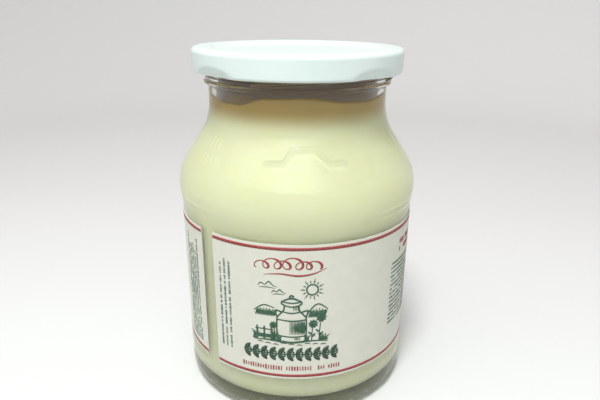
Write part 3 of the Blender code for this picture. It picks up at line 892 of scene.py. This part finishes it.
def print_strokes(name, strokes, ink, bold=1.0):
    """One piece of print from a list of strokes in millimetres, with each pen width times bold."""
    points, edges, widths = [], [], []
    for stroke in strokes:
        first = len(points)
        points += [(x * MM, y * MM, 0.0) for x, y, _ in stroke]
        widths += [max(w, 0.04) * bold * MM for _, _, w in stroke]
        edges += [(first + i, first + i + 1) for i in range(len(stroke) - 1)]
    piece = new_piece(name, points, edges=edges)
    attribute = piece.data.attributes.new("pen_width", "FLOAT", "POINT")
    attribute.data.foreach_set("value", widths)
    add_recipe(piece, pen_recipe, Thickness=INK_THICKNESS, Ink=ink)
    return baked(piece)


print("a leaf takes", len(leaf(0, 0, 30, 4, 1)), "points")

# %% [markdown]
# ### Border lines and the flourish
# Two red lines run round the whole label near its edges. Over the motif, a looping red pen
# flourish fills the room: a chain of loops whose pen is broad on the way down and thin on the
# way up, and a long swash under it. It is an ornament, and no letters are drawn.

# %% Border lines and the flourish
RED_LINE_HEIGHTS, RED_LINE_WIDTH = (66.2, 18.1), 1.05
MM_PER_DEG = math.radians(1.0) * PRINT_RADIUS / MM


def border_lines():
    x0, x1 = LABEL_START * MM_PER_DEG + 0.05, LABEL_END * MM_PER_DEG - 0.05
    return [straight(x0, y, x1, y, RED_LINE_WIDTH) for y in RED_LINE_HEIGHTS]


def flourish():
    loops = []
    turns, steps = 6, 22
    for i in range(turns * steps + 1):
        t = i / steps
        share = i / (turns * steps)
        size = 1.0 + 0.75 * math.sin(math.pi * share) * (1 if int(t) % 2 else 0.35)
        x = -12.9 + 20.8 * share - 1.35 * size * math.sin(2 * math.pi * t)
        y = 59.2 + 1.45 * size * (1.0 - math.cos(2 * math.pi * t)) * 0.8
        down = math.sin(2 * math.pi * t)
        loops.append((x, y, 0.34 + 0.5 * max(-down, 0.0)))
    swash = curved([(-10.5, 56.9, 0.1), (-5.0, 57.5, 0.5), (1.0, 56.9, 0.65), (6.0, 57.6, 0.45), (10.2, 59.4, 0.1)])
    return [loops, swash]


red_lines = print_strokes("print_red_lines", border_lines(), red_ink)
red_flourish = print_strokes("print_flourish", flourish(), red_ink)
print("red print:", triangles(red_lines) + triangles(red_flourish), "triangles")

# %% [markdown]
# ### The farm motif
# A pen drawing in green: a milk can on a meadow between daisies and a fence, hills behind it and
# a sun over them. Outlines are thin strokes, shade is hatching, as in a woodcut.

# %% The farm motif
def milk_can(x, y):
    half = [(4.6, 0.0), (4.9, 2.0), (4.9, 8.2), (4.4, 9.6), (3.0, 11.2), (2.5, 12.2), (2.5, 13.6), (3.3, 14.2), (3.3, 15.0)]
    out = []
    for side in (-1, 1):
        out.append(curved([(x + side * a, y + b, 0.42) for a, b in half], 4))
    for height, reach in ((0.0, 4.6), (2.0, 4.9), (8.2, 4.9), (11.2, 3.0), (13.6, 2.5), (15.0, 3.3)):
        out.append(curved([(x - reach, y + height, 0.34), (x, y + height - 0.55, 0.4), (x + reach, y + height, 0.34)], 6))
    out.append(curved([(x - 3.3, y + 15.0, 0.4), (x, y + 16.3, 0.55), (x + 3.3, y + 15.0, 0.4)], 6))
    out.append(ring(x, y + 16.7, 0.6, 0.5, steps=10))
    for side in (-1, 1):
        out.append(curved([(x + side * 3.1, y + 11.0, 0.4), (x + side * 5.4, y + 11.6, 0.5), (x + side * 4.8, y + 9.0, 0.4)], 5))
    for i in range(11):
        at = -0.6 + 0.48 * i
        out.append(curved([(x + at, y + 2.4, 0.12), (x + at + 0.12, y + 5.0, 0.2 + 0.05 * i), (x + at, y + 7.8, 0.12)], 4))
    for i in range(4):
        at = 0.7 + 0.5 * i
        out.append(curved([(x + at, y + 11.6, 0.12), (x + at, y + 13.2, 0.3)], 3))
        out.append(curved([(x + at + 0.4, y + 0.3, 0.3), (x + at + 0.5, y + 1.6, 0.15)], 3))
    return out


def daisy(x, y, height, size, lean):
    top = (x + lean, y + height)
    out = [curved([(x, y, 0.36), (x + 0.2 * lean, y + 0.5 * height, 0.3), (top[0], top[1], 0.24)], 5)]
    out += [leaf(top[0], top[1], 360.0 / 9 * i + 8, size, 0.42 * size) for i in range(9)]
    out.append(leaf(x + 0.05 * lean, y + 0.22 * height, 50.0, 2.0, 0.7))
    out.append(leaf(x + 0.1 * lean, y + 0.38 * height, 140.0, 1.8, 0.6))
    return out


def grass(x, y, count, height, seed):
    draw = random.Random(seed)
    out = []
    for i in range(count):
        lean = (i - (count - 1) / 2.0) * 0.42 + draw.uniform(-0.2, 0.2)
        tall = height * draw.uniform(0.65, 1.1)
        out.append(curved([(x + 0.3 * i - 0.15 * count, y, 0.34), (x + lean * 0.6, y + tall * 0.6, 0.26), (x + lean * 1.6, y + tall, 0.05)], 4))
    return out


def fence(x, y, posts, pitch):
    out = []
    for i in range(posts):
        at = x + pitch * i
        out.append([(at, y, 0.62), (at + 0.05, y + 2.2, 0.56), (at, y + 4.6, 0.5), (at, y + 5.0, 0.1)])
    for rail in (1.5, 3.6):
        out.append(curved([(x - 0.7, y + rail, 0.3), (x + pitch, y + rail + 0.2, 0.36), (x + pitch * (posts - 1) + 0.7, y + rail, 0.3)]))
    return out


def hills_and_sun():
    left = [(-14.0, 43.2, 0.25), (-10.6, 45.6, 0.38), (-6.9, 44.8, 0.25)]
    right = [(4.0, 43.0, 0.25), (7.4, 46.4, 0.4), (11.0, 44.2, 0.25)]
    out = [curved(left), curved(right)]
    for i in range(6):
        x = -13.3 + 1.05 * i
        out.append(curved([(x, 43.0 + 0.25 * math.sin(i), 0.12), (x + 0.7, 44.6 - 0.12 * abs(i - 3), 0.22)], 3))
        x = 4.7 + 1.0 * i
        out.append(curved([(x, 42.8, 0.12), (x + 0.5, 44.9 - 0.3 * abs(i - 2.5), 0.24)], 3))
    sun = (5.6, 51.8)
    out.append(ring(sun[0], sun[1], 1.9, 0.4))
    for i in range(14):
        a = math.radians(360.0 / 14 * i)
        reach = 4.1 if i % 2 else 3.4
        out.append([(sun[0] + 2.5 * math.cos(a), sun[1] + 2.5 * math.sin(a), 0.36),
                    (sun[0] + reach * math.cos(a), sun[1] + reach * math.sin(a), 0.08)])
    for x, y, size in ((-9.4, 52.6, 1.3), (-5.6, 50.4, 0.95)):
        out.append(curved([(x - 2.4 * size, y, 0.1), (x - 1.6 * size, y + 0.9 * size, 0.3), (x - 0.5 * size, y + 0.5 * size, 0.2),
                           (x + 0.5 * size, y + 1.4 * size, 0.34), (x + 1.5 * size, y + 0.5 * size, 0.22), (x + 2.6 * size, y, 0.1)]))
        out.append(curved([(x - 2.0 * size, y - 0.5, 0.1), (x, y - 0.25, 0.24), (x + 2.2 * size, y - 0.5, 0.1)]))
    return out


def hatched_field(x0, x1, y, tall, count):
    return [curved([(x0 + (x1 - x0) * i / count, y, 0.16), (x0 + (x1 - x0) * i / count + 0.5, y + 0.5 * tall, 0.4),
                    (x0 + (x1 - x0) * i / count + 1.0, y + tall, 0.14)], 3) for i in range(count)]


def meadow():
    out = [curved([(-14.2, 31.9, 0.15), (-9.0, 32.3, 0.45), (-1.5, 31.6, 0.5), (6.0, 32.3, 0.45), (11.2, 31.8, 0.15)])]
    for i in range(9):
        x = -13.0 + 2.7 * i
        out.append(curved([(x, 31.2 - 0.3 * (i % 3), 0.1), (x + 1.0, 31.4 - 0.3 * (i % 3), 0.32), (x + 2.1, 31.1 - 0.3 * (i % 3), 0.1)], 4))
    for i, (x, tall) in enumerate(((-7.2, 3.6), (-5.4, 2.6), (3.9, 3.2), (8.9, 3.0), (-13.6, 3.2), (10.4, 2.4))):
        out += grass(x, 32.2, 6, tall, 20 + i)
    out += daisy(5.6, 32.3, 6.6, 1.75, 0.5) + daisy(8.2, 32.2, 9.0, 1.95, 0.6) + daisy(-6.8, 32.4, 5.8, 1.5, -0.5)
    out += fence(-13.0, 32.6, 3, 2.5)
    out += hatched_field(-13.6, -6.6, 41.6, 2.4, 15)
    out += hatched_field(4.4, 10.2, 41.4, 2.6, 13) + hatched_field(-13.4, -7.0, 33.0, 1.5, 14)
    return out


motif = print_strokes("print_farm_motif", milk_can(-1.2, 32.4) + hills_and_sun() + meadow(), green_ink, 1.25)
print("motif:", triangles(motif), "triangles")

# %% [markdown]
# ### The leaf border
# Under the motif a bold dark green garland carries the weight that a title would: pairs of broad
# leaves along a stem, with a berry between the pairs.

# %% The leaf border
GARLAND_Y, GARLAND_X0, GARLAND_X1, GARLAND_PAIRS = 26.9, -18.2, 15.2, 11
GARLAND_LEAN, GARLAND_LEAF, GARLAND_LEAF_WIDTH = 52.0, 3.5, 1.75


def garland():
    out = [straight(GARLAND_X0, GARLAND_Y, GARLAND_X1, GARLAND_Y, 0.6)]
    pitch = (GARLAND_X1 - GARLAND_X0) / GARLAND_PAIRS
    for i in range(GARLAND_PAIRS):
        root = GARLAND_X0 + pitch * (i + 0.12)
        for side in (-1, 1):
            out.append(leaf(root, GARLAND_Y, side * GARLAND_LEAN, GARLAND_LEAF, GARLAND_LEAF_WIDTH))
            out.append(ring(root + 0.72 * pitch, GARLAND_Y + side * 0.75, 0.2, 0.42, steps=6))
    return out


garland_print = print_strokes("print_garland", garland(), dark_green_ink)
print("garland:", triangles(garland_print), "triangles")

# %% [markdown]
# ### Small print
# From a step away small print is only a texture of short marks in lines. The tree makes a grid
# of places, leaves out some of them as word gaps and ragged line ends, puts a mark of slightly
# random size on each of the others, turns the block, and bends it round the jar. The seed is
# fixed, so that the marks are the same each time.

# %% The small print tree
def make_small_print_recipe():
    r = Recipe("small_print", [
        ("Marks", "Int"), ("Lines", "Int"), ("Mark Pitch", "Float"), ("Line Pitch", "Float"), ("Mark Width", "Float"),
        ("Mark Height", "Float"), ("Gaps", "Float"), ("Ragged", "Float"), ("Centre X", "Float"), ("Centre Y", "Float"),
        ("Turn", "Float"), ("Seed", "Int"), ("Thickness", "Float"), ("Ink", "Material")])
    s = r.start
    length = r.sum("MULTIPLY", r.sum("SUBTRACT", s["Marks"], 1.0), s["Mark Pitch"])
    depth = r.sum("MULTIPLY", r.sum("SUBTRACT", s["Lines"], 1.0), s["Line Pitch"])
    grid = r.add("GeometryNodeMeshGrid", Size_X=length, Size_Y=depth, Vertices_X=s["Marks"], Vertices_Y=s["Lines"])
    index = r.add("GeometryNodeInputIndex").outputs[0]
    line = r.sum("MODULO", index, s["Lines"])
    column = r.sum("FLOOR", r.sum("DIVIDE", r.sum("ADD", index, 0.5), s["Lines"]))
    chance = r.add("FunctionNodeRandomValue", {"data_type": "FLOAT"}, ID=index, Seed=s["Seed"])
    line_chance = r.add("FunctionNodeRandomValue", {"data_type": "FLOAT"}, ID=line, Seed=r.sum("ADD", s["Seed"], 7.0))
    chance_out = [o for o in chance.outputs if o.enabled][0]
    line_out = [o for o in line_chance.outputs if o.enabled][0]
    printed = r.sum("GREATER_THAN", chance_out, s["Gaps"])
    line_end = r.sum("MULTIPLY", s["Marks"], r.sum("SUBTRACT", 1.0, r.sum("MULTIPLY", s["Ragged"], line_out)))
    kept = r.sum("MULTIPLY", printed, r.sum("LESS_THAN", column, line_end))
    mark = r.add("GeometryNodeMeshCube", Size=r.place(s["Mark Width"], s["Mark Height"], 0.001))
    size = r.add("FunctionNodeRandomValue", {"data_type": "FLOAT_VECTOR"}, Min=(0.6, 0.62, 1.0), Max=(1.2, 1.12, 1.0),
                 ID=index, Seed=r.sum("ADD", s["Seed"], 3.0))
    marks = r.add("GeometryNodeInstanceOnPoints", Points=grid.outputs["Mesh"], Selection=kept,
                  Instance=mark.outputs["Mesh"], Scale=[o for o in size.outputs if o.enabled][0])
    turn = r.add("ShaderNodeCombineXYZ", X=0.0, Y=0.0, Z=s["Turn"]).outputs[0]
    placed = r.add("GeometryNodeTransform", Geometry=marks.outputs[0], Rotation=turn,
                   Translation=r.place(s["Centre X"], s["Centre Y"], 0.0)).outputs[0]
    real = r.add("GeometryNodeRealizeInstances", Geometry=placed).outputs[0]
    r.finish(bend_round(r, real, s["Thickness"]), s["Ink"])
    return r


small_print_recipe = make_small_print_recipe()
print("small print tree has", len(small_print_recipe.tree.nodes), "nodes")


# %% Blocks of small print
def small_print(name, box, mark, pitch, ink, seed, gaps=0.16, ragged=0.0, turn=0.0):
    """Marks in lines that fill a box (x0, y0, x1, y1) in millimetres, turned by quarter turns."""
    x0, y0, x1, y1 = box
    long_side, short_side = (y1 - y0, x1 - x0) if turn else (x1 - x0, y1 - y0)
    piece = new_piece(name, [(0.0, 0.0, 0.0)])
    add_recipe(piece, small_print_recipe, Marks=max(2, round(long_side / pitch[0])),
               Lines=max(1, round(short_side / pitch[1])), Mark_Pitch=pitch[0] * MM, Line_Pitch=pitch[1] * MM,
               Mark_Width=mark[0] * MM, Mark_Height=mark[1] * MM, Gaps=gaps, Ragged=ragged,
               Centre_X=0.5 * (x0 + x1) * MM, Centre_Y=0.5 * (y0 + y1) * MM, Turn=turn, Seed=seed,
               Thickness=INK_THICKNESS, Ink=ink)
    return baked(piece)


QUARTER = math.pi / 2.0
FINE_MARK, FINE_PITCH = (0.4, 0.85), (0.56, 1.95)
BLOCKS = [
    ("print_caption_marks", (-18.9, 20.0, 16.1, 22.2), (0.52, 1.75), (0.92, 2.4), red_ink, 3, 0.09, 0.0, 0.0),
    ("print_upright_notes", (-28.6, 25.5, -21.9, 60.0), FINE_MARK, FINE_PITCH, small_ink, 11, 0.13, 0.14, QUARTER),
    ("print_left_notes", (-49.5, 20.5, -39.5, 62.5), FINE_MARK, (0.56, 1.6), small_ink, 23, 0.1, 0.14, QUARTER),
    ("print_right_heading", (43.2, 56.6, 62.0, 61.6), (1.0, 1.9), (1.4, 3.0), red_ink, 31, 0.12, 0.3, 0.0),
    ("print_right_notes", (38.6, 28.4, 62.0, 54.6), FINE_MARK, (0.56, 1.7), small_ink, 41, 0.13, 0.3, 0.0),
    ("print_back_notes", (70.0, 24.0, 98.0, 62.0), FINE_MARK, FINE_PITCH, small_ink, 53, 0.16, 0.3, 0.0),
    ("print_back_table", (108.0, 30.0, 142.0, 58.0), (0.66, 1.3), (0.9, 4.0), small_ink, 61, 0.45, 0.0, 0.0),
    ("print_back_small", (152.0, 24.0, 206.0, 52.0), FINE_MARK, FINE_PITCH, small_ink, 71, 0.16, 0.22, 0.0),
    ("print_back_heading", (152.0, 57.0, 190.0, 61.0), (1.0, 1.9), (1.4, 3.6), red_ink, 83, 0.14, 0.1, 0.0),
]
blocks = [small_print(*block) for block in BLOCKS]
table_rules = [straight(107.0, y, 143.0, y, 0.25) for y in (28.0, 32.0, 36.0, 40.0, 44.0, 48.0, 52.0, 56.0, 60.0)]
table_rules += [straight(x, 28.0, x, 60.0, 0.25) for x in (107.0, 128.0, 143.0)]
blocks.append(print_strokes("print_back_rules", table_rules, dark_green_ink))
print("small print:", sum(triangles(b) for b in blocks), "triangles in", len(blocks), "pieces")

# %% [markdown]
# ## Putting the pieces on the frame
# The lid, the glass, the yogurt and the label each stand for one imported solid. The print rides
# with them. A jar with its lid screwed on is one body, so everything rides on the root.

# %% Ride and replace
REPLACED = ((jar, "glass_jar", "clear_glass"), (lid, "lid", "white_enamel"),
            (yogurt, "yogurt", "yogurt_cream"), (label, "label", "label_paper"))
for piece, node, slot in REPLACED:
    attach(piece, "root")
    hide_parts(node)
for piece in [red_lines, red_flourish, motif, garland_print] + blocks:
    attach(piece, "root")
print("pieces:", len(REPLACED) + 4 + len(blocks))

# %% [markdown]
# ## Stage, light and camera
# The jar stands in a round pale sweep whose rim curves up on all sides, so that every view has a
# plain backdrop. The light is a bright dome over it, brightest overhead and at the upper left:
# a dome has no edges, so the glass shows soft broad gloss and no lamp shapes. The camera stands
# where the photograph was taken from, a hand's breadth away and looking down.

# %% The sweep
SWEEP_FLOOR, SWEEP_RIM, SWEEP_HEIGHT = 0.55, 0.95, 0.62


def make_sweep():
    rise = [(i + 1) / 16.0 * math.pi / 2.0 for i in range(16)]
    profile = [(0.0, 0.0), (0.15, 0.0), (0.35, 0.0), (SWEEP_FLOOR, 0.0)]
    profile += [(SWEEP_FLOOR + (SWEEP_RIM - SWEEP_FLOOR) * math.sin(a), SWEEP_HEIGHT * (1.0 - math.cos(a))) for a in rise]
    material, shader = new_finish("sweep_card", (0.8, 0.8, 0.8), 0.8, Specular_IOR_Level=0.2)
    nodes, links = material.node_tree.nodes, material.node_tree.links
    place = nodes.new("ShaderNodeTexCoord")
    split = nodes.new("ShaderNodeSeparateXYZ")
    links.new(place.outputs["Object"], split.inputs["Vector"])
    # Painted shade: the card turns a little darker and more lilac towards the back and the right, where the light falls
    # off.
    across = nodes.new("ShaderNodeMath")
    across.operation = "MULTIPLY_ADD"
    across.inputs[1].default_value = 0.12
    links.new(split.outputs["X"], across.inputs[0])
    links.new(split.outputs["Y"], across.inputs[2])
    colour = ramp_between(material, across.outputs[0], 0.0, 0.2, ((0.6, 0.615, 0.615), (0.58, 0.572, 0.582)))
    links.new(colour, shader.inputs["Base Color"])
    sweep = new_piece("studio_sweep", [(radius, 0.0, z) for radius, z in reversed(profile)])
    add_recipe(sweep, turning_recipe, Columns=96, Finish=material, Inside_Finish=material, Inside_From_Row=1000)
    return baked(sweep)


make_sweep()
print("sweep floor radius", SWEEP_FLOOR, "rim", SWEEP_RIM)

# %% The dome of light
DOME_BASE = (0.13, 0.1, 0.065)
GLOWS = (((0.0, 0.0, 1.0), 80.0, 10.0, (0.5, 0.5, 0.5)),
         ((-0.35, -0.47, 0.81), 55.0, 10.0, (0.9, 0.9, 0.88)),
         ((0.0, -0.92, 0.38), 40.0, 8.0, (0.5, 0.68, 0.66)))


def make_dome():
    world = bpy.data.worlds.new("light_dome")
    world.use_nodes = True
    nodes, links = world.node_tree.nodes, world.node_tree.links
    background = nodes["Background"]
    direction = nodes.new("ShaderNodeTexCoord").outputs["Generated"]
    total = None
    for towards, edge_deg, core_deg, colour in GLOWS:
        facing = nodes.new("ShaderNodeVectorMath")
        facing.operation = "DOT_PRODUCT"
        facing.inputs[1].default_value = Vector(towards).normalized()
        links.new(direction, facing.inputs[0])
        fade = nodes.new("ShaderNodeMapRange")
        fade.interpolation_type = "SMOOTHERSTEP"
        fade.inputs["From Min"].default_value = math.cos(math.radians(edge_deg))
        fade.inputs["From Max"].default_value = math.cos(math.radians(core_deg))
        links.new(facing.outputs["Value"], fade.inputs["Value"])
        glow = nodes.new("ShaderNodeVectorMath")
        glow.operation = "MULTIPLY_ADD"
        glow.inputs[0].default_value = colour
        glow.inputs[2].default_value = DOME_BASE if total is None else (0.0, 0.0, 0.0)
        links.new(fade.outputs["Result"], glow.inputs[1])
        if total is not None:
            links.new(total, glow.inputs[2])
        total = glow.outputs["Vector"]
    links.new(total, background.inputs["Color"])
    background.inputs["Strength"].default_value = 1.0
    bpy.context.scene.world = world


make_dome()
print("dome has", len(GLOWS), "glows")

# %% The key light
KEY_TOWARDS, KEY_DISTANCE, KEY_SIZE, KEY_POWER = (-0.088, -0.413, 0.906), 0.75, 0.19, 6.0


def make_key():
    lamp = bpy.data.lights.new("key_light", "AREA")
    lamp.shape = "DISK"
    lamp.size = KEY_SIZE
    lamp.energy = KEY_POWER
    holder = bpy.data.objects.new("key_light", lamp)
    bpy.context.scene.collection.objects.link(holder)
    towards = Vector(KEY_TOWARDS).normalized()
    holder.location = towards * KEY_DISTANCE + Vector((0.0, 0.0, 0.5 * LID_TOP))
    holder.rotation_euler = towards.to_track_quat("Z", "Y").to_euler()
    holder.visible_camera = False
    return holder


print("key light at", [round(c, 2) for c in make_key().location])

# %% Camera
FOCAL_PX, FRAME_WIDTH_PX, FRAME_HEIGHT_PX, SENSOR_MM = 545.0, 600.0, 400.0, 36.0
PRINCIPAL_Y_PX = 224.9
CAMERA_PLACE = Vector((1.33, -198.57, 137.49)) * MM
CAMERA_PITCH, CAMERA_ROLL = 0.384, 0.009


def make_camera():
    data = bpy.data.cameras.new("photo_view")
    data.sensor_width = SENSOR_MM
    data.lens = SENSOR_MM * FOCAL_PX / FRAME_WIDTH_PX
    data.shift_y = (PRINCIPAL_Y_PX - FRAME_HEIGHT_PX / 2.0) / FRAME_WIDTH_PX
    data.clip_start = 0.01
    camera = bpy.data.objects.new("photo_view", data)
    bpy.context.scene.collection.objects.link(camera)
    ahead = Vector((0.0, math.cos(CAMERA_PITCH), -math.sin(CAMERA_PITCH)))
    side = Vector((1.0, 0.0, 0.0))
    up = side.cross(ahead)
    right = math.cos(CAMERA_ROLL) * side + math.sin(CAMERA_ROLL) * up
    over = -math.sin(CAMERA_ROLL) * side + math.cos(CAMERA_ROLL) * up
    turn = Matrix((right, over, -ahead)).transposed().to_4x4()
    turn.translation = CAMERA_PLACE
    camera.matrix_world = turn
    return camera


bpy.context.scene.camera = make_camera()
bpy.context.scene.view_settings.view_transform = "Standard"
print("camera at", [round(c, 3) for c in CAMERA_PLACE])
